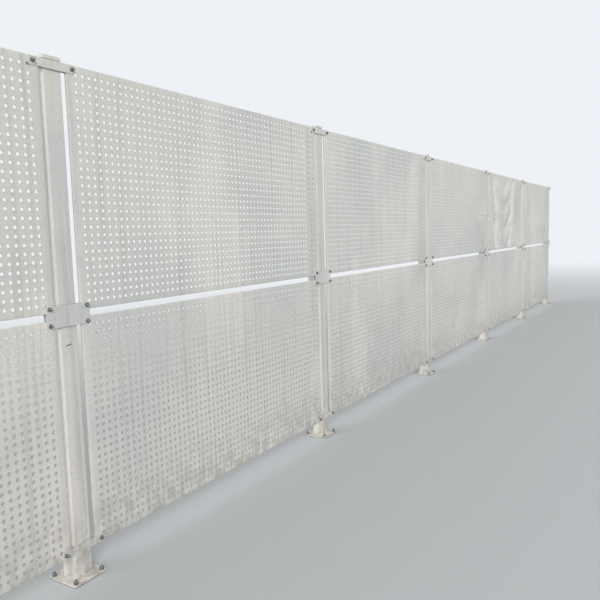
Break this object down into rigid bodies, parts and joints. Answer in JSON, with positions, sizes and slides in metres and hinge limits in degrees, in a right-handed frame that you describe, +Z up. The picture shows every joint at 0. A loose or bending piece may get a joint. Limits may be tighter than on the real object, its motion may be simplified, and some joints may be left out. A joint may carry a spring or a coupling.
{
  "type": "perforated metal hoarding",
  "caption": "Straight run of powder-coated perforated sheet steel hoarding: folded panels in two tiers, clamped to capped square posts on bolted base plates.",
  "frame": {"origin": "centre of the underside of the middle post's base plate", "axes": "+X along the hoarding to the right as seen from the street side, -Y towards the street, +Z up"},
  "size_m": [15.25, 0.2, 2.525],
  "materials": {
    "powder_coat_panel": "dusty off-white powder coat",
    "powder_coat_post": "dusty off-white powder coat",
    "powder_coat_cap": "dusty off-white powder coat",
    "powder_coat_fittings": "dusty off-white powder coat",
    "powder_coat_base": "dirty off-white powder coat"
  },
  "bodies": {
    "root": {"post_1": "powder_coat_post", "post_2": "powder_coat_post", "post_3": "powder_coat_post", "post_4": "powder_coat_post", "post_5": "powder_coat_post", "post_6": "powder_coat_post", "post_7": "powder_coat_post", "base_plate_1": "powder_coat_base", "base_plate_2": "powder_coat_base", "base_plate_3": "powder_coat_base", "base_plate_4": "powder_coat_base", "base_plate_5": "powder_coat_base", "base_plate_6": "powder_coat_base", "base_plate_7": "powder_coat_base", "post_cap_1": "powder_coat_cap", "post_cap_2": "powder_coat_cap", "post_cap_3": "powder_coat_cap", "post_cap_4": "powder_coat_cap", "post_cap_5": "powder_coat_cap", "post_cap_6": "powder_coat_cap", "post_cap_7": "powder_coat_cap", "post_clamps_1": "powder_coat_fittings", "post_clamps_2": "powder_coat_fittings", "post_clamps_3": "powder_coat_fittings", "post_clamps_4": "powder_coat_fittings", "post_clamps_5": "powder_coat_fittings", "post_clamps_6": "powder_coat_fittings", "post_clamps_7": "powder_coat_fittings", "lower_panel_1": "powder_coat_panel", "lower_panel_2": "powder_coat_panel", "lower_panel_3": "powder_coat_panel", "lower_panel_4": "powder_coat_panel", "lower_panel_5": "powder_coat_panel", "lower_panel_6": "powder_coat_panel", "upper_panel_1": "powder_coat_panel", "upper_panel_2": "powder_coat_panel", "upper_panel_3": "powder_coat_panel", "upper_panel_4": "powder_coat_panel", "upper_panel_5": "powder_coat_panel", "upper_panel_6": "powder_coat_panel"}
  },
  "joints": []
}
